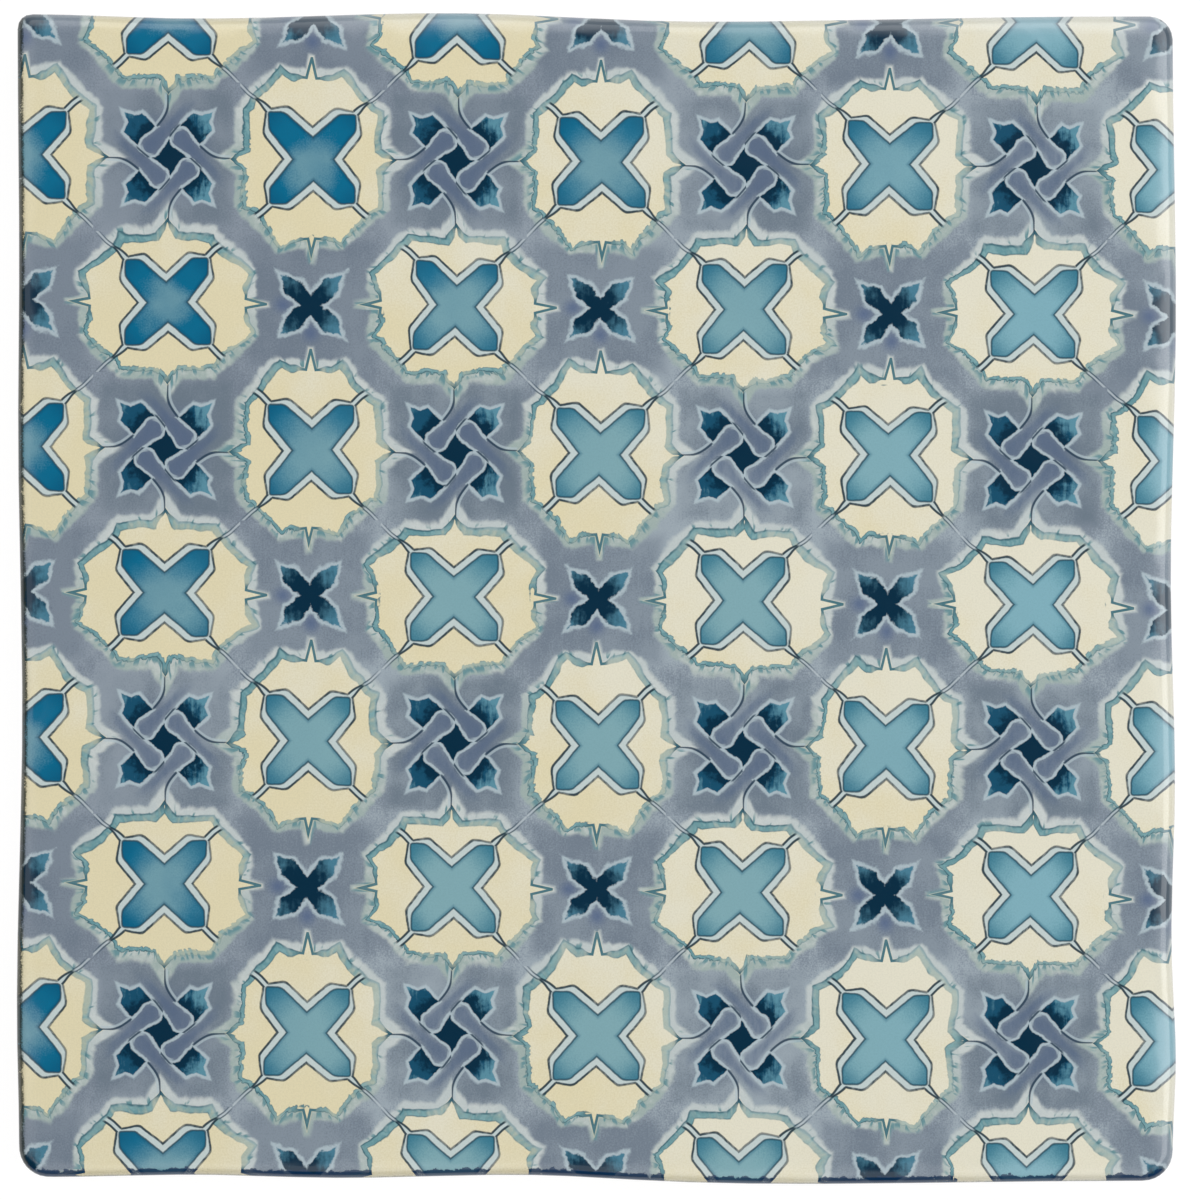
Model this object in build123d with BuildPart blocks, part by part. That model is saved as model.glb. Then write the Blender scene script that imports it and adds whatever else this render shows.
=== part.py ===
"""Hand-pressed ceramic wall tile, fired as one piece.

The tile lies on its back in its own frame: the origin is under its middle, the glazed face
looks up along +Z, and +Y is the far side. Its outline is a rectangle whose four sides wander
in and out a little, the glazed edge is rolled over all the way round, and shallow keying
grooves run along the back.
"""

import os

from build123d import *

# Overall size in millimetres, from the furthest crest of each side to the crest opposite
tile_width = 130.0
tile_length = 131.2
tile_thickness = 10.0

# Edges and corners, the corners as seen from above
edge_roll_radius = 1.4
back_arris = 0.5
far_left_radius = 1.6
far_right_radius = 2.7
near_right_radius = 3.4
near_left_radius = 3.4

# Keying grooves in the back
groove_width = 6.0
groove_depth = 0.8
groove_pitch = 14.0
groove_margin = 10.0

# How far each side lies inside its crest line at its two ends, where the corners start
far_left_inset, far_right_inset = 0.1, 0.35
right_far_inset, right_near_inset = 0.35, 0.35
near_right_inset, near_left_inset = 0.22, 0.65
left_near_inset, left_far_inset = 0.22, 0.05

# The wander of each side between its ends: share of the overall size from the left or the
# near crest line, and the inset there
far_wander = [(0.13, 0.55), (0.39, 0.0), (0.55, 0.85), (0.65, 0.9), (0.85, 0.45)]
near_wander = [(0.16, 0.9), (0.27, 0.55), (0.455, 0.84), (0.545, 0.25), (0.79, 0.0)]
left_wander = [(0.12, 0.0), (0.39, 0.56), (0.635, 0.11), (0.775, 0.22)]
right_wander = [(0.1, 0.0), (0.19, 0.45), (0.33, 0.1), (0.495, 0.55), (0.725, 0.0)]

half_width = tile_width / 2
half_length = tile_length / 2

# Corner points of the outline, before they are rounded
far_left = Vector(-half_width + left_far_inset, half_length - far_left_inset)
far_right = Vector(half_width - right_far_inset, half_length - far_right_inset)
near_right = Vector(half_width - right_near_inset, -half_length + near_right_inset)
near_left = Vector(-half_width + left_near_inset, -half_length + near_left_inset)

# Along each side, in the order that they are drawn
rightward, leftward = Vector(1, 0), Vector(-1, 0)
farward, nearward = Vector(0, 1), Vector(0, -1)


def along_width(share):
    """X of a point on the far or the near side, from its share of the width."""
    return (share - 0.5) * tile_width


def along_length(share):
    """Y of a point on the left or the right side, from its share of the length."""
    return (share - 0.5) * tile_length


far_points = [Vector(along_width(share), half_length - inset) for share, inset in far_wander]
near_points = [Vector(along_width(share), -half_length + inset) for share, inset in near_wander]
left_points = [Vector(-half_width + inset, along_length(share)) for share, inset in left_wander]
right_points = [Vector(half_width - inset, along_length(share)) for share, inset in right_wander]

# Each side as its start, the points between, its end and its direction, clockwise from above
sides = [
    (far_left + rightward * far_left_radius, far_points,
     far_right + leftward * far_right_radius, rightward),
    (far_right + nearward * far_right_radius, right_points[::-1],
     near_right + farward * near_right_radius, nearward),
    (near_right + leftward * near_right_radius, near_points[::-1],
     near_left + rightward * near_left_radius, leftward),
    (near_left + farward * near_left_radius, left_points,
     far_left + nearward * far_left_radius, farward),
]
corner_radii = [far_right_radius, near_right_radius, near_left_radius, far_left_radius]

# The roll is kept inside the tightest corner
roll_radius = min(edge_roll_radius, 0.9 * min(corner_radii))

# Grooves lie in pairs either side of the middle, as many as fit inside the margin
groove_reach = half_width - groove_margin - groove_width / 2
groove_count = 2 * int((groove_reach + groove_pitch / 2) // groove_pitch)
groove_length = tile_length - 2 * groove_margin

# The tile: wandering outline, rolled glazed edge, bevelled back edge and keyed back
with BuildPart() as tile:
    with BuildSketch():
        with BuildLine():
            for index, (start, between, end, direction) in enumerate(sides):
                Spline(start, *between, end, tangents=[direction, direction])
                next_start = sides[(index + 1) % len(sides)][0]
                RadiusArc(end, next_start, corner_radii[index])
        make_face()
    extrude(amount=tile_thickness)
    fillet(tile.faces().sort_by(Axis.Z)[-1].edges(), roll_radius)
    chamfer(tile.faces().sort_by(Axis.Z)[0].edges(), back_arris)

    with BuildSketch():
        with GridLocations(groove_pitch, 0, groove_count, 1):
            SlotOverall(groove_length, groove_width, rotation=90)
    extrude(amount=groove_depth, mode=Mode.SUBTRACT)

tile.part.label = "tile"
os.makedirs("parts", exist_ok=True)
export_step(tile.part, "parts/tile.step")
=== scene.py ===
import math

import bpy
import numpy as np
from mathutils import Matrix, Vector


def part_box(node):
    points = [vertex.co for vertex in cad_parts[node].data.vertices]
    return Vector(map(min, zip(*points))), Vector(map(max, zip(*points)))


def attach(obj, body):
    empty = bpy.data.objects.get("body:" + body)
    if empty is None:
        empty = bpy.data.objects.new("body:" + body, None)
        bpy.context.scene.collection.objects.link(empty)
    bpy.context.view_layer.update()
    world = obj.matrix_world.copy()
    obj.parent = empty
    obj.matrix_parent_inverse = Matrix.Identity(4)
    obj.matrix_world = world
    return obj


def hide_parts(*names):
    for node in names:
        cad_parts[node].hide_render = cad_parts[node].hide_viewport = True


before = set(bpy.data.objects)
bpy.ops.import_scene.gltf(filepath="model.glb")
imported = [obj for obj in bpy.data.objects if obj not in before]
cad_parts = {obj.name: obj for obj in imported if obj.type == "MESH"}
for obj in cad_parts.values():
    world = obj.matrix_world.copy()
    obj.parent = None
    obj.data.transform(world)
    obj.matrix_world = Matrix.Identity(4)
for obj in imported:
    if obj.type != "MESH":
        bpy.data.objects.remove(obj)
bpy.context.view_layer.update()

# The tile is one slab of clay, pressed by hand, printed, glazed and fired as one piece.
# Its walls wander a little, its glazed edge is rolled over, the glaze laps part of the way
# down the walls, and the bare back has pressed keying grooves.
edge_roll = 0.0014
back_arris = 0.0005
shoulder_width = 0.005
shoulder_drop = 0.00025
face_swell = 0.00008
glaze_lap = 0.0046
lap_wander = 0.0011
glaze_thickness = 0.00012
groove_width = 0.006
groove_depth = 0.0008
groove_pitch = 0.014
groove_count = 8
groove_margin = 0.010
groove_wall = 0.0003
grid_lines = 150
line_clearance = 0.25
bend_from = 0.88
calm_border = 0.08
level_tolerance = 0.00002
roll_steps = 8
glazed_steps = 6
bare_steps = 8
glaze_step = 0.00015

tile_low, tile_high = (np.array(corner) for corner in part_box("tile"))
thickness = tile_high[2]
half_size = (tile_high[:2] - tile_low[:2]) / 2
middle = (tile_high[:2] + tile_low[:2]) / 2


def closed_outline(bearing, ring):
    """A ring of points as a function of the bearing from the middle, straight from point to point."""
    def outline(angles):
        across = np.interp(angles, bearing, ring[:, 0], period=2 * np.pi)
        along = np.interp(angles, bearing, ring[:, 1], period=2 * np.pi)
        return np.stack([across, along], axis=-1)

    return outline


def wall_outline(node, height):
    """Outline of the tile's upright walls, from the points of the solid where the roll starts."""
    points = np.empty(len(node.data.vertices) * 3)
    node.data.vertices.foreach_get("co", points)
    points = points.reshape(-1, 3)
    ring = points[np.abs(points[:, 2] - height) < level_tolerance][:, :2]
    bearing = np.arctan2(*(ring - middle).T[::-1])
    return closed_outline(bearing, ring)


def stations():
    """Shares from -1 to 1 where the grid's lines stand across the tile.

    Even steps, with two more lines at each groove wall, so that the wall is steep.
    """
    even = np.linspace(-1, 1, grid_lines + 1)
    centres = (np.arange(groove_count) - (groove_count - 1) / 2) * groove_pitch
    walls = np.concatenate([centres - groove_width / 2, centres + groove_width / 2])
    sides = np.concatenate([walls - groove_wall / 2, walls + groove_wall / 2]) / half_size[0]
    clear = np.min(np.abs(even[:, None] - sides[None, :]), axis=1) > line_clearance * (even[1] - even[0])
    clear[[0, -1]] = True
    return np.sort(np.concatenate([even[clear], sides]))


def rim_places(last):
    """Row and column numbers round the border of a square grid, anticlockwise from above."""
    run = np.arange(last)
    zero, full = np.zeros(last, int), np.full(last, last)
    columns = np.concatenate([run, full, last - run, zero])
    rows = np.concatenate([zero, run, full, last - run])
    return columns, rows


def ramp(value, start, end):
    """0 at start and before it, 1 at end and past it, smooth between."""
    share = np.clip((value - start) / (end - start), 0, 1)
    return share * share * (3 - 2 * share)


def face_grid(share_x, share_y, rim):
    """Points of a face inside its rim, as a grid.

    A plain rectangle of even lines, whose outermost lines are bent out to meet the rim: the
    bend is the rim's offset from the rectangle, and dies away smoothly towards the middle.
    """
    reach = np.maximum(np.abs(share_x), np.abs(share_y))
    border_x, border_y = share_x / np.maximum(reach, 1e-9), share_y / np.maximum(reach, 1e-9)
    corner = np.stack([border_x, border_y], axis=-1) * half_size
    bearing = np.arctan2(corner[..., 1], corner[..., 0])
    bend = ramp(reach, bend_from, 1)[..., None]
    plain = np.stack([share_x, share_y], axis=-1) * half_size + middle
    return plain + bend * (rim(bearing) - corner - middle)


def swell(x, y):
    """Slow rise and fall of the fired face, from 0 to 1: three crossing waves."""
    waves = np.sin(95 * x + 0.7) + np.sin(120 * y - 60 * x + 2.1) + np.sin(210 * x + 170 * y)
    return 0.5 + waves / 6


def groove_share(x, y):
    """1 in a keying groove and 0 on the lands, steep between.

    A groove is every point within half its width of a straight run along the tile.
    """
    offset = (groove_count - 1) / 2
    number = np.clip(np.round(x / groove_pitch + offset), 0, groove_count - 1)
    away_x = x - (number - offset) * groove_pitch
    run = half_size[1] - groove_margin - groove_width / 2
    away_y = np.maximum(np.abs(y) - run, 0)
    inside = (groove_width / 2 - np.hypot(away_x, away_y)) / groove_wall
    return np.clip(inside + 0.5, 0, 1)


def lap_height(share):
    """Height where the glaze ends on the wall, round the tile: a few slow waves and drips."""
    turn = 2 * np.pi * share
    waves = np.sin(3 * turn + 0.4) + 0.8 * np.sin(7 * turn + 1.9) + 0.7 * np.sin(17 * turn + 0.6)
    drips = 0.6 * np.maximum(np.sin(29 * turn + 2.2), 0) ** 6
    return thickness - glaze_lap + lap_wander * (0.45 * waves - drips)


outline_at = wall_outline(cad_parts["tile"], thickness - edge_roll)
lines = stations()
last = len(lines) - 1
share_x, share_y = np.meshgrid(lines, lines, indexing="ij")
rim_i, rim_j = rim_places(last)
rim_count = len(rim_i)
rim_corner = np.stack([lines[rim_i], lines[rim_j]], axis=-1) * half_size
rim_bearing = np.arctan2(rim_corner[:, 1], rim_corner[:, 0])
wall = outline_at(rim_bearing)
tangent = np.roll(wall, -1, axis=0) - np.roll(wall, 1, axis=0)
tangent /= np.linalg.norm(tangent, axis=1)[:, None]
outward = np.stack([tangent[:, 1], -tangent[:, 0]], axis=-1)


def inset_rim(inset):
    """The walls' outline drawn in by a distance, as a function of the bearing from the middle."""
    return closed_outline(rim_bearing, wall - outward * inset)


def edge_drop(x, y):
    """How far the face has dropped at its shoulder.

    That grows with the square of the nearness to the edge of the plain rectangle.
    """
    gap = np.minimum(half_size[0] - np.abs(x - middle[0]), half_size[1] - np.abs(y - middle[1]))
    near = np.clip(1 - gap / shoulder_width, 0, 1)
    return shoulder_drop * near * near


face = face_grid(share_x, share_y, inset_rim(edge_roll))
face_x, face_y = np.moveaxis(face, -1, 0)
swell_share = np.clip((1 - np.maximum(np.abs(share_x), np.abs(share_y))) / calm_border, 0, 1)
face_z = thickness - edge_drop(face_x, face_y) - face_swell * swell_share * swell(face_x, face_y)
face_points = np.stack([face_x, face_y, face_z], axis=-1)

back_x, back_y = np.moveaxis(face_grid(share_x, share_y, inset_rim(back_arris)), -1, 0)
back_z = groove_depth * groove_share(back_x, back_y)
back_points = np.stack([back_x, back_y, back_z], axis=-1)

rim_z = face_points[rim_i, rim_j, 2]
turns = np.linspace(0, np.pi / 2, roll_steps + 1)[1:]
roll_rings = []
for turn in turns:
    ring = wall - outward * edge_roll * (1 - math.sin(turn))
    height = rim_z - (rim_z - thickness + edge_roll) * (1 - math.cos(turn))
    roll_rings.append(np.concatenate([ring, height[:, None]], axis=1))

rim_share = np.arange(rim_count) / rim_count
lap = lap_height(rim_share)
wall_top = thickness - edge_roll
wall_rings = []
for share in np.linspace(0, 1, glazed_steps + 1)[1:]:
    height = wall_top + (lap - wall_top) * share
    wall_rings.append(np.concatenate([wall, height[:, None]], axis=1))
clay_wall = wall - outward * glaze_thickness
for share in np.linspace(0, 1, bare_steps):
    height = (lap - glaze_step) * (1 - share) + back_arris * share
    wall_rings.append(np.concatenate([clay_wall, height[:, None]], axis=1))

count = (last + 1) ** 2
points = np.concatenate(
    [face_points.reshape(-1, 3), *roll_rings, *wall_rings, back_points.reshape(-1, 3)])
grid_numbers = np.arange(count).reshape(last + 1, last + 1)
back_numbers = grid_numbers + len(points) - count
rings = [grid_numbers[rim_i, rim_j]]
for step in range(roll_steps + len(wall_rings)):
    rings.append(count + step * rim_count + np.arange(rim_count))
rings.append(back_numbers[rim_i, rim_j])


def grid_faces(numbers):
    """Four-cornered faces of a grid, facing up."""
    corners = [numbers[:-1, :-1], numbers[1:, :-1], numbers[1:, 1:], numbers[:-1, 1:]]
    return np.stack(corners, axis=-1).reshape(-1, 4)


def band_faces(upper, lower):
    """Four-cornered faces between two rings of points, facing outwards."""
    return np.stack([upper, lower, np.roll(lower, -1), np.roll(upper, -1)], axis=-1)


face_quads = grid_faces(grid_numbers)
back_quads = grid_faces(back_numbers)[:, ::-1]
band_quads = [band_faces(upper, lower) for upper, lower in zip(rings[:-1], rings[1:])]
quads = np.concatenate([face_quads, *band_quads, back_quads])

tile_mesh = bpy.data.meshes.new("glazed_tile")
tile_mesh.from_pydata(points.tolist(), [], quads.tolist())
tile_mesh.polygons.foreach_set("use_smooth", np.ones(len(quads), bool))
bare_from = len(face_quads) + (roll_steps + glazed_steps) * rim_count

# Where the baked picture keeps each part: the glazed face and roll get most of it, the four
# walls lie as strips beside it, and the plain back is pressed flat above.
face_share = 0.86
strip_width = 0.028
strip_pitch = 0.0325
margin = 0.004
back_shares = np.array([0.6, 0.12])
past_face = 2 * margin + face_share
flat_uv = (points[:, :2] - tile_low[:2]) / (2 * half_size)
face_uv = margin + face_share * flat_uv[quads[:len(face_quads) + roll_steps * rim_count]]
back_uv = np.array([margin, past_face]) + back_shares * flat_uv[back_quads]
strip_place = past_face + np.repeat(np.arange(4), last) * strip_pitch
strip_start = (np.arange(rim_count) % last) / last
strip_end = strip_start + 1 / last
strip_ends = margin + face_share * np.stack([strip_start, strip_start, strip_end, strip_end], axis=-1)
steps = len(wall_rings) + 1
wall_uv = np.empty((steps, rim_count, 4, 2))
for step in range(steps):
    upper_u = strip_place + strip_width * step / steps
    lower_u = strip_place + strip_width * (step + 1) / steps
    wall_uv[step, :, :, 0] = np.stack([upper_u, lower_u, lower_u, upper_u], axis=-1)
    wall_uv[step, :, :, 1] = strip_ends
all_uv = np.concatenate([face_uv.reshape(-1, 2), wall_uv.reshape(-1, 2), back_uv.reshape(-1, 2)])
bake_map = tile_mesh.uv_layers.new(name="OFBake")
bake_map.data.foreach_set("uv", all_uv.astype(np.float32).ravel())
tile_mesh.update()

glazed_tile = bpy.data.objects.new("glazed_tile", tile_mesh)
bpy.context.scene.collection.objects.link(glazed_tile)
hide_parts("tile")
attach(glazed_tile, "root")


def pigment(red, green, blue):
    """A colour as it is seen, from 0 to 255 in each part, turned into the light that it sends back."""
    shares = np.array([red, green, blue]) / 255
    light = np.where(shares <= 0.04045, shares / 12.92, ((shares + 0.055) / 1.055) ** 2.4)
    return (*light.tolist(), 1.0)


class Paint:
    """A number, place or colour that varies over the surface: one socket of a node tree.

    Sums and products of such numbers add the nodes that work them out.
    """

    def __init__(self, tree, socket):
        self.tree = tree
        self.socket = socket

    def node(self, kind, values, output=0, **settings):
        """Adds a node, sets or links its inputs by number or name, and gives one of its outputs."""
        node = self.tree.nodes.new(kind)
        for name, setting in settings.items():
            setattr(node, name, setting)
        for key, value in values.items():
            if isinstance(value, Paint):
                self.tree.links.new(value.socket, node.inputs[key])
            else:
                node.inputs[key].default_value = value
        return Paint(self.tree, node.outputs[output])

    def math(self, operation, *values, clamp=False):
        """One step of arithmetic."""
        return self.node("ShaderNodeMath", dict(enumerate(values)), operation=operation, use_clamp=clamp)

    def __add__(self, other):
        return self.math("ADD", self, other)

    def __sub__(self, other):
        return self.math("SUBTRACT", self, other)

    def __rsub__(self, other):
        return self.math("SUBTRACT", other, self)

    def __mul__(self, other):
        return Product(self, other)

    def __abs__(self):
        return self.math("ABSOLUTE", self)


class Product(Paint):
    """A number times a weight. A sum takes both up in one node."""

    def __init__(self, value, weight):
        self.tree = value.tree
        self.value = value
        self.weight = weight
        self.made = None

    @property
    def socket(self):
        if self.made is None:
            self.made = self.math("MULTIPLY", self.value, self.weight).socket
        return self.made

    def __add__(self, other):
        return self.math("MULTIPLY_ADD", self.value, self.weight, other)

    def __radd__(self, other):
        return self + other


def lesser(first, *others):
    """The least of several numbers."""
    for other in others:
        first = first.math("MINIMUM", first, other)
    return first


def greater(first, *others):
    """The greatest of several numbers."""
    for other in others:
        first = first.math("MAXIMUM", first, other)
    return first


def fade(value, start, end):
    """0 at start and before it, 1 at end and past it, smooth between."""
    ends = {"Value": value, "From Min": start, "From Max": end}
    return value.node("ShaderNodeMapRange", ends, "Result", interpolation_type="SMOOTHSTEP")


def stroke(distance, centre, half_width):
    """1 on a drawn line and 0 beside it, with a soft edge."""
    return fade(abs(distance - centre), half_width * 1.35, half_width * 0.55)


def either(first, second, share):
    """The first number where share is 0, the second where it is 1."""
    return share.node("ShaderNodeMix", {0: share, 2: first, 3: second}, 0, data_type="FLOAT")


def coat(under, colour, share):
    """A colour laid over another where share is 1."""
    return share.node("ShaderNodeMix", {0: share, 6: under, 7: colour}, 2, data_type="RGBA")


def point(x, y, z=0.0):
    """A place, from its three parts."""
    return x.node("ShaderNodeCombineXYZ", {0: x, 1: y, 2: z})


def parts(place):
    """The three parts of a place."""
    node = place.node("ShaderNodeSeparateXYZ", {0: place}).socket.node
    return [Paint(place.tree, output) for output in node.outputs]


def vectors(operation, first, second):
    """A sum, product or the like of two places."""
    return first.node("ShaderNodeVectorMath", {0: first, 1: second}, "Vector", operation=operation)


def length(place):
    """How far a place is from the origin."""
    return place.node("ShaderNodeVectorMath", {0: place}, "Value", operation="LENGTH")


def side(place, normal, reach):
    """Distance past a straight side: the place's way along the side's normal, less the side's reach.

    The place's third part is 1, so that one product gives both.
    """
    return place.node("ShaderNodeVectorMath", {0: place, 1: (*normal, -reach)}, "Value",
                      operation="DOT_PRODUCT")


def mottle(place, scale, detail=2.0, roughness=0.5, dimensions="2D"):
    """Uneven tone, from about -0.5 to 0.5, in patches of about 1/scale."""
    look = {"Vector": place, "Scale": scale, "Detail": detail, "Roughness": roughness}
    return place.node("ShaderNodeTexNoise", look, "Fac", noise_dimensions=dimensions) - 0.5


def new_material(name):
    """An empty material, its node tree and its Principled shader."""
    material = bpy.data.materials.new(name)
    material.use_nodes = True
    return material, material.node_tree, material.node_tree.nodes["Principled BSDF"]


def raise_surface(height, shader, strength, distance):
    """Bump on a material, from a height."""
    look = {"Strength": strength, "Distance": distance, "Height": height}
    bump = height.node("ShaderNodeBump", look, "Normal")
    bump.tree.links.new(bump.socket, shader.inputs["Normal"])


# Bare fired clay, on the back and below the glaze: a buff body with fine grog and a dusting
# of darker specks, rough and dull.
buff_clay = pigment(196, 172, 144)
brown_clay = pigment(168, 140, 112)
pale_grog = pigment(222, 206, 184)
dark_speck = pigment(96, 76, 60)
clay_roughness = 0.85
clay_relief = 0.0002
biscuit, biscuit_tree, biscuit_shader = new_material("biscuit")
clay_place = Paint(biscuit_tree, biscuit_tree.nodes.new("ShaderNodeTexCoord").outputs["Object"])
clay_cloud = mottle(clay_place, 60.0, 4.0, 0.5, "3D")
clay_grain = mottle(clay_place, 900.0, 3.0, 0.65, "3D")
clay_speck = fade(mottle(clay_place, 1500.0, 1.0, 0.5, "3D"), 0.19, 0.26)
clay = coat(buff_clay, brown_clay, fade(clay_cloud, -0.25, 0.25))
clay = coat(clay, pale_grog, fade(clay_grain, 0.02, 0.3) * 0.6)
clay = coat(clay, dark_speck, clay_speck * 0.7)
biscuit_tree.links.new(clay.socket, biscuit_shader.inputs["Base Color"])
biscuit_shader.inputs["Roughness"].default_value = clay_roughness
raise_surface(clay_cloud * 0.6 + clay_grain, biscuit_shader, 0.5, clay_relief)

# The print under the glaze: a lattice of grey bands that knot and cross, round cream fields
# with a teal cross in each. It is worked out in half repeats: stars stand where column and
# row are both even, knots where both are odd, and crosses between them.
column_pitch = 0.01618
row_pitch = 0.01630
rows_fall = 0.0133
columns_lean = 0.0061
print_shift = (0.00025, -0.00021)
hand_wobble = 0.022
wobble_length = 1.3
tone_change = 0.35
tone_length = 3.0
diagonal = 0.7071


def waver(place, wave_length, turn):
    """Slow unevenness over the print, from -1 to 1: the mean of five waves of about that length.

    Each wave runs in its own direction, and turn sets the first one's.
    """
    number = np.arange(5)
    angle = turn + 2.4 * number
    pace = 2 * np.pi / wave_length * (0.7 + 0.17 * number)
    run = place[:, :1] * np.cos(angle) + place[:, 1:] * np.sin(angle)
    return np.sin(run * pace + 5.1 * turn * number).mean(axis=1)


from_shift = points[:, :2] - print_shift
flat_columns = (from_shift[:, 0] - columns_lean * from_shift[:, 1]) / column_pitch
flat_rows = (-rows_fall * from_shift[:, 0] - from_shift[:, 1]) / row_pitch
flat = np.stack([flat_columns, flat_rows], axis=1)
columns = flat_columns + hand_wobble * waver(flat, wobble_length, 0.4)
rows = flat_rows + hand_wobble * waver(flat, wobble_length, 1.7)
tones = tone_change * waver(flat, tone_length, 2.9)
print_place = tile_mesh.attributes.new("print_place", "FLOAT_VECTOR", "POINT")
print_place.data.foreach_set("vector", np.stack([columns, rows, tones], axis=1).ravel())

# The blue is deepest along the left side and in the far left corner.
far_left_share = ramp(-np.maximum(rows, -3.0) * 0.9 - columns * 0.45, 0.4, 4.2)
pale_share = (1 - ramp(-columns, 1.2, 4.4)) * (1 - far_left_share)
blue_layer = tile_mesh.attributes.new("blue_depth", "FLOAT", "POINT")
blue_layer.data.foreach_set("value", np.clip(1 - pale_share + tones * 0.5, 0, 1))

# Each face of the mesh takes the finish of the motif that it lies in, which is the number of odd
# places among its column and row: none in a star, one in a cross and two in a knot. The bare clay
# comes after them.
bare_finish = 3
motifs = np.round(np.stack([columns, rows], axis=1)[quads].mean(axis=1)).astype(int) % 2
finishes = motifs.sum(axis=1)
finishes[bare_from:] = bare_finish
tile_mesh.polygons.foreach_set("material_index", finishes)

# The ground that the three motifs share: cream fields, their outlines and the grey bands.
pale_cream = pigment(229, 225, 205)
warm_cream = pigment(226, 216, 180)
firm_halo = pigment(192, 201, 201)
washed_halo = pigment(162, 178, 174)
bright_halo = pigment(208, 213, 210)
hatched_halo = pigment(108, 147, 153)
light_grey = pigment(159, 171, 180)
blue_grey = pigment(128, 138, 152)
deep_grey = pigment(110, 122, 137)
soft_teal = pigment(104, 150, 157)
pale_teal = pigment(138, 175, 178)
ink_teal = pigment(52, 94, 108)
ground = bpy.data.node_groups.new("print_ground", "ShaderNodeTree")


def read_attribute(tree, name, output="Vector"):
    """A number, place or colour that is kept on the mesh."""
    node = tree.nodes.new("ShaderNodeAttribute")
    node.attribute_name = name
    return Paint(tree, node.outputs[output])


def put_out(group, results):
    """Gives a node group its named outputs."""
    end = group.nodes.new("NodeGroupOutput")
    for name, paint in results.items():
        kind = "NodeSocketColor" if name == "Colour" else "NodeSocketFloat"
        group.interface.new_socket(name, in_out="OUTPUT", socket_type=kind)
        group.links.new(paint.socket, end.inputs[name])


place = read_attribute(ground, "print_place")
column, row, slow = parts(place)
patch = mottle(place, 3.1, 3.0)
ragged = mottle(place, 15.0, 3.0, 0.62)
grain = mottle(place, 85.0)
scratch = mottle(vectors("MULTIPLY", place, (34.0, 7.0, 0.0)), 1.0)

# Places within a field, measured from its cross. A field has knots at two sides and stars at
# the other two.
sum_wrapped = column.math("WRAP", column + row, 2.0, 0.0)
difference_wrapped = column.math("WRAP", column - row, 2.0, 0.0)
field_x = (sum_wrapped + difference_wrapped) * 0.5 + -1.0
field_y = (sum_wrapped - difference_wrapped) * 0.5
stars_beside = column.math("PINGPONG", column - field_x, 1.0)
side_x = abs(field_x)
side_y = abs(field_y)
knot_reach = either(side_x, side_y, stars_beside)
star_reach = either(side_y, side_x, stars_beside)
reach = point(knot_reach, star_reach, 1.0)

# A field is what lies inside the slanted bands, with a corner at each end of a band, the sides
# of the stars' rings, each with a thin spike, and the round lobes of the knots, with a cusp
# between them. Each is a distance past it, less than 0 inside.
band = side(reach, (diagonal, diagonal), 0.546)
band_corners = lesser(band, side(reach, (0.495, 0.919), 0.533), side(reach, (0.813, 0.601), 0.530))
ring_side = side(reach, (-0.09, 1.0), 0.547)
ring_corner = lesser(ring_side, side(reach, (-0.59, 1.0), 0.477))
spike = greater(side(reach, (0.974, 0.226), 0.157), star_reach - 0.69)
lobe = lesser(knot_reach - 0.466, side(reach, (0.573, 0.819), 0.3275))
edge = greater(band_corners, lesser(ring_corner, spike), lobe)
plain_edge = greater(band, ring_side, lobe)

# Above a field its outline is a firm ribbon, with a pale edge to the band; below it the colour
# has washed out, with a torn line. It is stronger on the left. Short hatched strokes point out
# from the field's middle, and in narrow places only a fine dark line is left.
field_middle = vectors("SUBTRACT", place, point(field_x, field_y))
hatch_place = point(field_y.math("ARCTAN2", field_y, field_x) * 13.0, edge * 9.0)
hatch = mottle(vectors("ADD", hatch_place, vectors("MULTIPLY", field_middle, (91.0, 37.0, 0.0))), 1.0, 1.0)
wash = fade(field_y * 0.9 + (field_x * -0.35 + (slow * 0.7 + patch * 0.25)), -0.22, 0.22)
in_spike = fade(star_reach, 0.50, 0.53) * fade(knot_reach, 0.12, 0.05)
narrow = greater(fade(knot_reach, 0.49, 0.56), in_spike)
calm = 1.0 - narrow
drift = (patch * 0.10 + ragged * 0.005) * calm
torn = (fade(hatch, -0.06, 0.06) * 0.6 + (ragged * 0.8 + -0.3)) * (wash * calm)
line_gap = torn * 0.016 + (wash * 0.012 + (edge + drift))
line_width = 0.027 - greater(wash * 0.012, narrow * 0.018)
line_across = line_gap.math("DIVIDE", line_gap, line_width)
firm = fade(patch + ragged * 0.4 + hatch * 0.7 + field_x * -0.35, -0.30, 0.22)
line_share = fade(abs(line_across), 1.2, 0.85) * greater(firm * 0.45 + 0.55, narrow)
line_side = fade(abs(line_across + 0.12), 0.45, 0.9) * (firm * 0.6 + 0.3)
blue_depth = read_attribute(ground, "blue_depth", "Fac")

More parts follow.
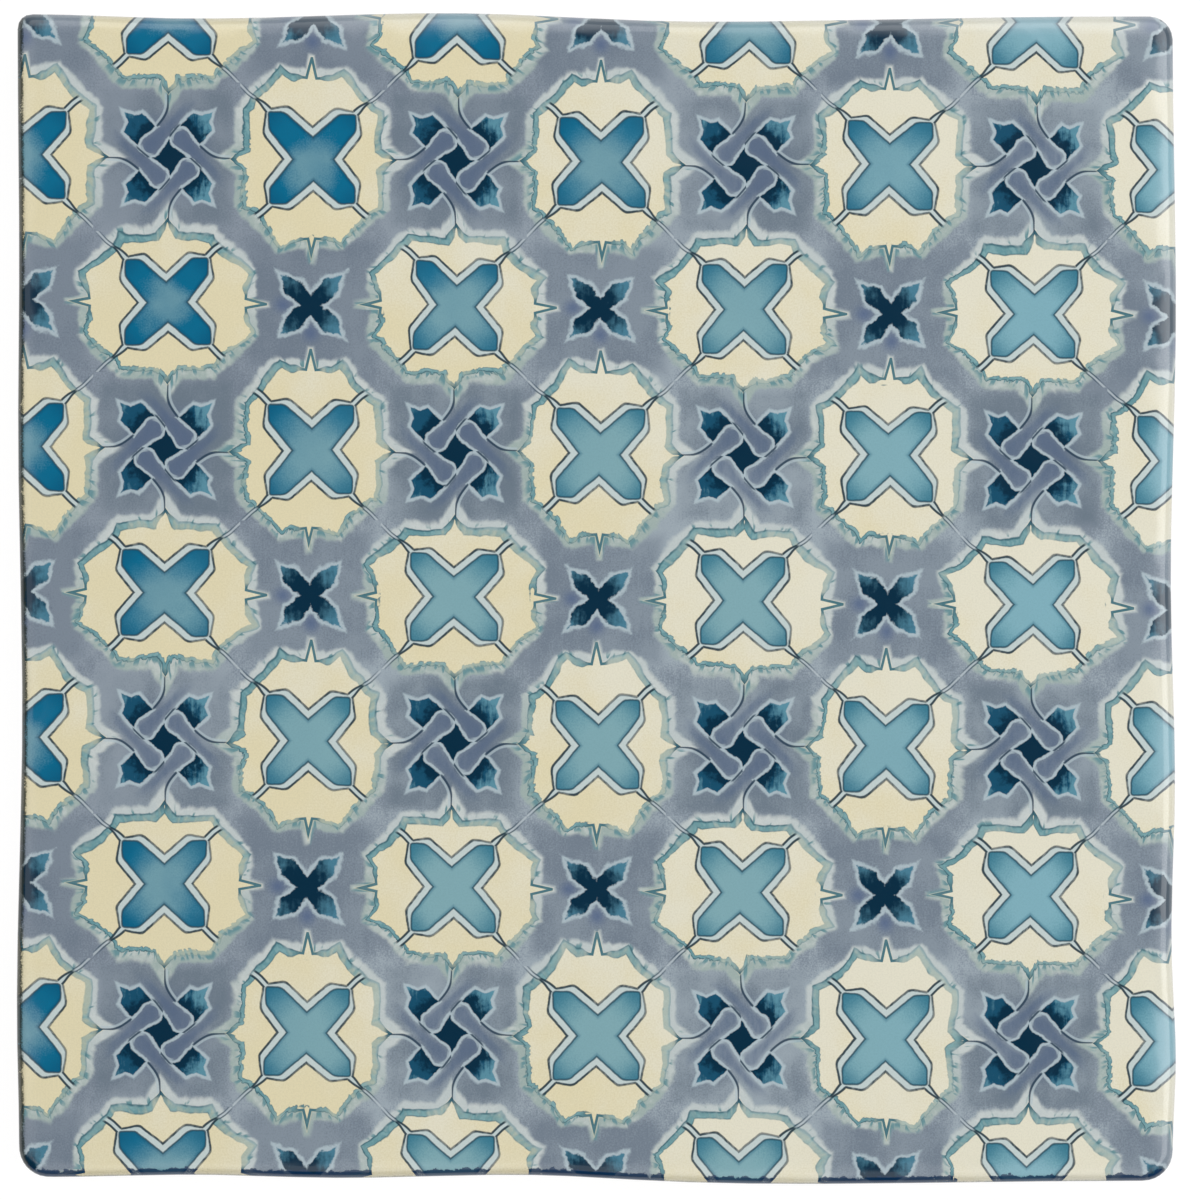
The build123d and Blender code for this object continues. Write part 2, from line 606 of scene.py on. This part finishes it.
warm = fade(column * -0.06 + (field_y * 0.2 + (slow * 0.35 + (patch * 0.5 + grain * 0.3))), -0.24, 0.24)
cream = coat(pale_cream, warm_cream, warm)
halo = coat(firm_halo, washed_halo, wash)
halo = coat(halo, bright_halo, fade(patch + ragged * 0.7, -0.1, 0.3) * 0.6)
halo_hatch = fade(hatch + wash * 0.14, 0.14, 0.24) * fade(line_gap, 0.07, 0.03)
halo = coat(halo, hatched_halo, halo_hatch)
band_tone = fade(patch * 0.9 + (slow * 0.6 + (grain * 0.6 + scratch * 0.2)), -0.2, 0.26)
band_grey = coat(light_grey, blue_grey, blue_depth * 0.7)
band_grey = coat(band_grey, deep_grey, band_tone * 0.7)
line_teal = coat(soft_teal, pale_teal, fade(ragged + hatch, -0.08, 0.25) * 0.7)
line_dark = greater(line_side * 0.9, in_spike * -0.3 + narrow * 0.95)
line_teal = coat(line_teal, ink_teal, line_dark)
band_gap = hatch * 0.03 + (lesser(wash * 0.012 + (plain_edge - 0.074), edge - 0.024) + drift)
band_share = fade(band_gap, -0.018, 0.018)
colour = coat(cream, halo, fade(line_gap, 0.0, 0.02))
colour = coat(colour, band_grey, band_share)
colour = coat(colour, line_teal, line_share)
put_out(ground, {"Colour": colour, "Column": column, "Row": row, "Slow": slow, "Field X": field_x,
                 "Field Y": field_y, "Stars beside": stars_beside, "Band": band_share, "Blue": blue_depth,
                 "Firm": firm, "Patch": patch, "Ragged": ragged, "Grain": grain, "Scratch": scratch})

# Round the edge: painted shade on the left roll, where less light falls, a painted dark line on the
# near roll, and a painted pale highlight on the right and far rolls, which face the lamps. The glaze
# has also gathered in pools on the near side, and runs plain down the walls. How far each reaches is
# kept on the mesh.
painted_highlight = pigment(216, 224, 229)
pooled_blue = pigment(6, 48, 84)
painted_shade_olive = pigment(50, 58, 54)
near_shade_blue = pigment(36, 76, 112)
grain_dark = pigment(30, 58, 64)
pale_wall = pigment(176, 174, 156)
dull_wall = pigment(132, 138, 128)
edge_wear_and_light = bpy.data.node_groups.new("edge_wear_and_light", "ShaderNodeTree")

flat_lean = np.zeros((count, 2))
roll_leans = [outward * math.sin(turn) for turn in turns]
wall_leans = [outward] * len(wall_rings)
lean = np.concatenate([flat_lean, *roll_leans, *wall_leans, flat_lean])
# The right and far rolls, which face the lamps, get a painted pale highlight.
right_painted_highlight = 0.2 * ramp(points[:, 0], half_size[0] - 0.0034, half_size[0] + 0.0004)
far_painted_highlight = 0.3 * ramp(points[:, 1] + 0.01 * points[:, 0], half_size[1] - 0.0026, half_size[1] - 0.0002)
# The left roll, leaning away from the lamps, gets painted shade, and the near roll a painted dark line.
left_painted_shade = ramp(-lean[:, 0], 0.2, 0.9)
near_painted_shade = ramp(-lean[:, 1], 0.75, 1.0)
near_gap = points[:, 1] - np.interp(points[:, 0], wall[:last, 0], wall[:last, 1])
near_pool = ramp(-near_gap, -0.0014, -0.0004)
wall_share = ramp(thickness - points[:, 2], 0.0008, 0.0022)
runs = [np.maximum(right_painted_highlight, far_painted_highlight), left_painted_shade - near_painted_shade, near_pool, wall_share]
glaze_and_light_run = tile_mesh.attributes.new("glaze_and_light_run", "FLOAT_COLOR", "POINT")
glaze_and_light_run.data.foreach_set("color", np.stack(runs, axis=1).ravel())

edge_wear_and_light.interface.new_socket("Colour", in_out="INPUT", socket_type="NodeSocketColor")
for name in ("Ragged", "Grain", "Slow"):
    edge_wear_and_light.interface.new_socket(name, in_out="INPUT", socket_type="NodeSocketFloat")
wear_start = edge_wear_and_light.nodes.new("NodeGroupInput")
worn_and_lit, wear_ragged, wear_grain, wear_tone = [Paint(edge_wear_and_light, output) for output in wear_start.outputs[:4]]
highlight_share, dark, pool = parts(read_attribute(edge_wear_and_light, "glaze_and_light_run"))
on_wall = read_attribute(edge_wear_and_light, "glaze_and_light_run", "Alpha")
# The painted shade on the rolls is broken up by the ragged tone and the grain.
dark = dark * (wear_ragged * 1.5 + (wear_grain * 1.5 + 1.0))
worn_and_lit = coat(worn_and_lit, grain_dark, fade(wear_grain, -0.25, 0.35) * 0.075)
print_light = worn_and_lit.node("ShaderNodeRGBToBW", {0: worn_and_lit})
pool = fade(wear_ragged * 1.6 + pool, 0.5, 0.65) * fade(print_light, 0.66, 0.60)
# The painted pale highlight on the right and far rolls.
worn_and_lit = coat(worn_and_lit, painted_highlight, highlight_share)
worn_and_lit = coat(worn_and_lit, pooled_blue, pool * 0.9)
# Painted shade on the left roll, a dark olive.
worn_and_lit = coat(worn_and_lit, painted_shade_olive, fade(dark, 0.2, 0.7) * 0.9)
# A painted dark blue line of shade on the near roll.
worn_and_lit = coat(worn_and_lit, near_shade_blue, fade(dark, -0.1, -1.0) * 0.5)
wall_glaze = coat(pale_wall, dull_wall, fade(wear_tone + wear_ragged, -0.3, 0.3))
worn_and_lit = coat(worn_and_lit, wall_glaze, fade(on_wall + wear_ragged * 0.4, 0.2, 0.8))
put_out(edge_wear_and_light, {"Colour": worn_and_lit})

# The clear glaze lies over all of the print.
glaze_roughness = 0.13
glaze_ior = 1.5
ripple_scale = 4.2
ripple_height = 0.0003


def group_node(tree, group):
    """A node group placed in a tree: its node, and its outputs as paints by name."""
    node = tree.nodes.new("ShaderNodeGroup")
    node.node_tree = group
    return node, {output.name: Paint(tree, output) for output in node.outputs}


def glaze_over(colour, marks, shader):
    """Lays the glaze's runs and pools at the edge, with the painted highlights and shade there, over a
    finished print, and the clear, slightly rippled glaze over both.
    """
    tree = colour.tree
    edge_and_light_node, worn_and_lit_marks = group_node(tree, edge_wear_and_light)
    tree.links.new(colour.socket, edge_and_light_node.inputs["Colour"])
    for name in ("Ragged", "Grain", "Slow"):
        tree.links.new(marks[name].socket, edge_and_light_node.inputs[name])
    tree.links.new(worn_and_lit_marks["Colour"].socket, shader.inputs["Base Color"])
    tree.links.new((marks["Patch"] * 0.06 + glaze_roughness).socket, shader.inputs["Roughness"])
    shader.inputs["IOR"].default_value = glaze_ior
    ripple = mottle(read_attribute(tree, "print_place"), ripple_scale, 1.0)
    raise_surface(ripple, shader, 0.3, ripple_height)


navy = pigment(1, 43, 66)
pale_rim = pigment(180, 196, 203)

# A star in its ring: a dark cross-shaped leaf with notched arms and a pale rim.
leaf_blue = pigment(74, 126, 148)
ring_grey = pigment(108, 121, 136)
smudge_blue = pigment(86, 104, 138)
star_print, star_tree, star_shader = new_material("printed_star")
marks = group_node(star_tree, ground)[1]
ragged, scratch = marks["Ragged"], marks["Scratch"]
star_side_x = ragged.math("WRAP", marks["Column"], 1.0, -1.0)
star_side_y = ragged.math("WRAP", marks["Row"], 1.0, -1.0)
star_x = abs(star_side_x)
star_y = abs(star_side_y)
star_long = greater(star_x, star_y)
star_short = lesser(star_x, star_y)

# The leaf's edge is the further out of its notch side and of its arm's outer side.
star_place = point(star_long, star_short, 1.0)
star_notch = side(star_place, (0.62, -0.785), 0.044)
star_arm = side(star_place, (0.965, -0.26), 0.146)
star_gap = ragged * 0.05 + greater(star_notch, star_arm)
star_out = ragged * 0.25 + (star_long + star_short)
star_leaf = fade(star_side_x * 0.35 + (scratch * 0.15 + star_out), 0.15, 0.40)
star_dark = coat(navy, leaf_blue, star_leaf)
smudge = fade(star_short, 0.09, 0.0) * fade(abs(star_long - 0.19), 0.1, 0.0)
smudge = smudge * fade(star_side_y - star_side_x, -0.02, 0.12)
ring_shade = fade(star_long, 0.50, 0.38) * (marks["Band"] * 0.5)
colour = coat(marks["Colour"], ring_grey, ring_shade)
colour = coat(colour, smudge_blue, smudge * 0.8)
colour = coat(colour, pale_rim, fade(star_gap, 0.036, 0.012) * 0.85)
colour = coat(colour, star_dark, fade(star_gap, 0.006, -0.008))
glaze_over(colour, marks, star_shader)

# A knot: four strands, each from one lobe, that hook over and under each other round a dark
# middle, with four dark eyes between them. One quarter is worked out and turned four times,
# and every second knot is mirrored.
knot_grey = pigment(108, 122, 135)
middle_grey = pigment(98, 112, 134)
strand_blue = pigment(86, 104, 132)
under_blue = pigment(74, 92, 114)
crossing_ink = pigment(40, 62, 82)
eye_blue = pigment(22, 78, 106)
eye_pale = pigment(92, 144, 162)
strand_start = (0.16, 0.393)
strand_end = (-0.134, 0.079)
strand_half_width = 0.045
strand_waist = 0.45
strand_flare = 0.085
knot_print, knot_tree, knot_shader = new_material("printed_knot")
marks = group_node(knot_tree, ground)[1]
ragged, scratch = marks["Ragged"], marks["Scratch"]
knot_x = ragged.math("WRAP", marks["Column"], 2.0, 0.0) - 1.0
knot_y = ragged.math("WRAP", marks["Row"], 2.0, 0.0) - 1.0
knot_number = (marks["Column"] + marks["Row"] - (knot_x + knot_y)) * 0.5
knot_turn = ragged.math("PINGPONG", knot_number, 1.0) * -2.0 + 1.0
crossed = ragged.math("LESS_THAN", knot_x * (knot_y * knot_turn), 0.0)
knot_side_x = abs(knot_x)
knot_side_y = abs(knot_y)
quarter_x = either(knot_side_x, knot_side_y, crossed)
quarter_y = either(knot_side_y, knot_side_x, crossed)
quarter = point(quarter_x, quarter_y, 1.0)


def strand(place, start, end):
    """Distance past the side of a straight, round-ended strand.

    The place is dropped onto the strand's middle line, and the half width is taken off. That
    is least at the waist, and grows with the square of the way from there.
    """
    run = np.array([*end, 0.0]) - np.array([*start, 0.0])
    along = vectors("SUBTRACT", place, (*start, 1.0))
    share = along.node("ShaderNodeVectorMath", {0: along, 1: tuple(run / (run @ run))}, "Value",
                       operation="DOT_PRODUCT")
    share = share.math("ADD", share, 0.0, clamp=True)
    drop = share.node("ShaderNodeVectorMath", {0: tuple(run), "Scale": share}, "Vector", operation="SCALE")
    from_waist = share - strand_waist
    half_width = from_waist * from_waist * strand_flare + strand_half_width
    return length(vectors("SUBTRACT", along, drop)) - half_width


def turned(place):
    """A place on the next quarter, a right angle further round."""
    return place[1], -place[0]


over = strand(quarter, strand_start, strand_end)
passing = strand(quarter, turned(strand_start), turned(strand_end))
hook_side = side(quarter, (-0.715, 0.699), -0.0990)
knot_far = greater(quarter_x, quarter_y)
knot_near = lesser(quarter_x, quarter_y)
off_corner = knot_far - knot_near
lobe_bars = abs(knot_near - 0.24) * 0.35 + (0.299 - knot_far)
torn_strands = ragged * 0.025 + lesser(over, passing, hook_side, lobe_bars)
eye_zone = fade(knot_far, 0.36, 0.33) * fade(off_corner, 0.21, 0.17)
eye_share = fade(torn_strands, 0.008, 0.018) * eye_zone
eye_out = ragged * 0.25 + (quarter_x + quarter_y)
eye_leaf = fade(knot_x * 0.28 + (scratch * 0.25 + eye_out), 0.44, 0.62)
eye_dark = coat(navy, eye_blue, fade(eye_out, 0.36, 0.46))
eye_dark = coat(eye_dark, eye_pale, eye_leaf)

# A fine dark line with a pale rim runs in from each cusp between a lobe's hooked end and the
# strand that it passes, and another round each strand's end.
hook_line = quarter_x.math("SMOOTH_MIN", side(quarter, (0.69, 0.72), 0.2105),
                           side(quarter, (0.421, 0.907), 0.1438), 0.04)
hook_line = quarter_x.math("SMOOTH_MIN", hook_line, quarter_y - 0.002, 0.04)
hook_zone = fade(knot_far, 0.45, 0.42) * fade(hook_side, 0.012, 0.0)
end_zone = fade(passing, 0.035, 0.015)
hook_ink = fade(abs(hook_line), 0.011, 0.004) * hook_zone
crossing_line = greater(hook_ink, stroke(over, 0.002, 0.007) * end_zone)
passing_rim = stroke(passing, -0.012, 0.009) * fade(over, 0.05, 0.02)
crossing_rim = greater(stroke(hook_line, 0.016, 0.009) * hook_zone, passing_rim)
rim_width = fade(knot_far, 0.21, 0.28) * 0.008 + 0.012
bright_side = fade(torn_strands + rim_width, 0.0, rim_width) * eye_zone
strand_round = fade(lesser(over, passing), -0.004, -0.04) * fade(knot_far, 0.42, 0.30)
under_shade = greater(fade(over, -0.05, 0.0) * end_zone, fade(hook_line, -0.05, 0.0) * hook_zone)
knot_deep = marks["Patch"] * 0.9 + (marks["Slow"] * 1.2 + 0.55)
knot_shade = fade(knot_far, 0.50, 0.40) * (marks["Band"] * knot_deep)
middle_shade = fade(knot_far, 0.36, 0.16) * (marks["Blue"] * 0.4 + knot_deep * 0.8)
colour = coat(marks["Colour"], knot_grey, knot_shade)
colour = coat(colour, middle_grey, middle_shade)
colour = coat(colour, strand_blue, strand_round * (scratch * 0.4 + 0.55))
colour = coat(colour, under_blue, under_shade * fade(over, 0.01, -0.01) * 0.5)
colour = coat(colour, pale_rim, greater(bright_side * 0.85, crossing_rim * 0.65))
colour = coat(colour, crossing_ink, crossing_line * 0.9)
colour = coat(colour, eye_dark, eye_share)
glaze_over(colour, marks, knot_shader)

# A cross in its field: a teal fill, deeper at the tips, in a pale border between fine dark
# lines, with a stem from each arm to the nearest band. It stands a little high and tall.
border_pale = pigment(196, 209, 208)
border_ink = pigment(26, 52, 66)
fill_ink = pigment(34, 74, 90)
fill_teal = pigment(130, 171, 179)
right_teal = pigment(130, 177, 190)
arm_teal = pigment(74, 136, 154)
left_blue = pigment(6, 106, 142)
plain_tip = pigment(34, 102, 130)
blue_tip = pigment(0, 66, 104)
hair_pale = pigment(186, 196, 202)
hair_dark = pigment(50, 74, 92)
cross_print, cross_tree, cross_shader = new_material("printed_cross")
marks = group_node(cross_tree, ground)[1]
ragged, patch, field_x, field_y = (marks[name] for name in ("Ragged", "Patch", "Field X", "Field Y"))
cross_x = abs(field_x) * 1.015
cross_y = abs(field_y + 0.008) * 0.985
cross_long = greater(cross_x, cross_y)
cross_short = lesser(cross_x, cross_y)
cross_reach = point(cross_long, cross_short, 1.0)

# The fill ends at the arm's flank, its end and its cut corner, and the border a little past them.
cut_corner = side(cross_reach, (diagonal, diagonal), 0.4147)
fill_end = cross_x.math("SMOOTH_MAX", cross_long - 0.298, cut_corner, 0.015)
fill_edge = cross_x.math("SMOOTH_MAX", side(cross_reach, (0.7635, -0.646), 0.1069), fill_end, 0.025)
border_edge = cross_x.math("SMOOTH_MAX", side(cross_reach, (0.768, -0.64), 0.159),
                           side(cross_reach, (0.985, 0.17), 0.3601), 0.035)
fill_gap = ragged * 0.008 + fill_edge
border_gap = ragged * 0.008 + border_edge
fill_share = fade(fill_gap, 0.004, -0.004)
border_share = fade(border_gap, 0.004, -0.004)

arm_along = (cross_long + cross_short) * diagonal
stem_run = either(cross_y - cross_x - 0.012, abs(field_y) - abs(field_x), fade(arm_along, 0.48, 0.62))
arm_side = abs(stem_run) * diagonal
deep = field_y * -0.12 + (patch * 0.15 + (marks["Grain"] * 0.1 + (marks["Blue"] * 0.12 + arm_along)))
deep = fade(deep, 0.15, 0.46)
cross_teal = coat(fill_teal, right_teal, fade(marks["Column"], 0.5, 3.5))
cross_teal = coat(cross_teal, arm_teal, deep)
blue_share = marks["Blue"] * (deep * 0.9 + (patch * 0.7 + 0.5))
cross_teal = coat(cross_teal, left_blue, blue_share)
tip_teal = coat(plain_tip, blue_tip, marks["Blue"])
tip_share = greater(fade(fill_gap, -0.03, -0.004), fade(arm_along, 0.26, 0.43))
cross_teal = coat(cross_teal, tip_teal, tip_share * 0.5)

# Every second pair of stems tapers and goes on as a hair line across the band to the next cross.
to_star = either(field_y, field_x, marks["Stars beside"])
field_number = marks["Column"] + marks["Row"] - (field_x + field_y)
star_number = (to_star.math("SIGN", to_star) + field_number) * 0.5
joined = ragged.math("PINGPONG", star_number, 1.0)
stem_width = fade(arm_along, 0.43, 0.57) * joined * -0.017 + 0.019
stem_zone = fade(arm_along, 0.418, 0.430) * fade(arm_along, 0.565, 0.535)
stem_core = fade(arm_side - stem_width, 0.004, -0.004) * stem_zone
stem_lines = fade(abs(arm_side - stem_width), 0.0115, 0.0047) * stem_zone
past_stem = fade(arm_along, 0.54, 0.56) * joined
hair = fade(arm_side, 0.010, 0.004) * past_stem
hair_shade = fade(abs(arm_side - 0.011), 0.007, 0.003) * (past_stem * fade(arm_along, 0.74, 0.58))
border_line = fade(abs(border_gap), 0.0115, 0.0045) * (marks["Firm"] * 0.3 + 0.7)
border_line = border_line * fade(arm_side, 0.010, 0.016)
colour = coat(marks["Colour"], border_pale, greater(border_share, stem_core))
colour = coat(colour, hair_pale, hair * 0.75)
colour = coat(colour, hair_dark, hair_shade * 0.8)
colour = coat(colour, border_ink, greater(border_line, stem_lines) * 0.95)
colour = coat(colour, cross_teal, fill_share)
colour = coat(colour, fill_ink, fade(abs(fill_gap), 0.009, 0.003) * 0.85)
glaze_over(colour, marks, cross_shader)

for finish in (star_print, cross_print, knot_print, biscuit):
    tile_mesh.materials.append(finish)

# A pale floor under the tile. To the camera and in mirror images it glows almost white, and it
# keeps the tile's shadow.
floor_size = 3.0
floor_white = (0.9, 0.9, 0.9, 1.0)
floor_roughness = 0.8
glow_strength = 1.07
glow_share = 0.88
floor_mesh = bpy.data.meshes.new("floor")
half_floor = floor_size / 2
floor_corners = [(-half_floor, -half_floor, 0), (half_floor, -half_floor, 0),
                 (half_floor, half_floor, 0), (-half_floor, half_floor, 0)]
floor_mesh.from_pydata(floor_corners, [], [(0, 1, 2, 3)])
floor = bpy.data.objects.new("floor", floor_mesh)
bpy.context.scene.collection.objects.link(floor)
floor_paint, floor_tree, floor_shader = new_material("white_floor")
floor_shader.inputs["Base Color"].default_value = floor_white
floor_shader.inputs["Roughness"].default_value = floor_roughness
floor_glow = floor_tree.nodes.new("ShaderNodeEmission")
floor_glow.inputs["Strength"].default_value = glow_strength
floor_ray = floor_tree.nodes.new("ShaderNodeLightPath")
floor_seen = Paint(floor_tree, floor_ray.outputs["Is Camera Ray"])
floor_seen = greater(floor_seen, Paint(floor_tree, floor_ray.outputs["Is Glossy Ray"]))
floor_mix = floor_tree.nodes.new("ShaderNodeMixShader")
floor_share = floor_seen * glow_share
floor_tree.links.new(floor_share.socket, floor_mix.inputs[0])
floor_tree.links.new(floor_shader.outputs[0], floor_mix.inputs[1])
floor_tree.links.new(floor_glow.outputs[0], floor_mix.inputs[2])
floor_tree.links.new(floor_mix.outputs[0], floor_tree.nodes["Material Output"].inputs["Surface"])
floor_paint.cycles.emission_sampling = "NONE"
floor_mesh.materials.append(floor_paint)

# Soft studio light from the right and the far side, and a camera straight above.
world_strength = 0.06
lamp_size = 0.9
lamp_reach = 0.68
lamp_rise = 0.98
world = bpy.data.worlds.new("studio")
bpy.context.scene.world = world
world.use_nodes = True
world.node_tree.nodes["Background"].inputs["Color"].default_value = (1.0, 1.0, 1.0, 1.0)
world.node_tree.nodes["Background"].inputs["Strength"].default_value = world_strength


def soft_light(name, place, power):
    """A square lamp that looks at the tile."""
    lamp = bpy.data.lights.new(name, "AREA")
    lamp.shape = "SQUARE"
    lamp.size = lamp_size
    lamp.energy = power
    holder = bpy.data.objects.new(name, lamp)
    holder.location = place
    aim = -holder.location
    holder.rotation_euler = aim.to_track_quat("-Z", "Y").to_euler()
    bpy.context.scene.collection.objects.link(holder)


soft_light("right_light", (lamp_reach, 0.10, lamp_rise), 8.5)
soft_light("far_light", (0.07, lamp_reach, lamp_rise), 5.2)
soft_light("left_light", (-lamp_reach, 0.0, lamp_rise), 2.5)
soft_light("near_light", (0.0, -lamp_reach, lamp_rise), 2.9)

photo_pixels_per_metre = 8931.0
photo_width = 1200
camera_offset = (0.00039, -0.00022)
frame_width = photo_width / photo_pixels_per_metre
camera_data = bpy.data.cameras.new("camera")
camera_data.lens = 200.0
camera_data.sensor_width = 36.0
camera = bpy.data.objects.new("camera", camera_data)
camera_rise = frame_width * camera_data.lens / camera_data.sensor_width
camera.location = (*camera_offset, thickness + camera_rise)
bpy.context.scene.collection.objects.link(camera)
bpy.context.scene.camera = camera
bpy.context.scene.view_settings.view_transform = "Standard"
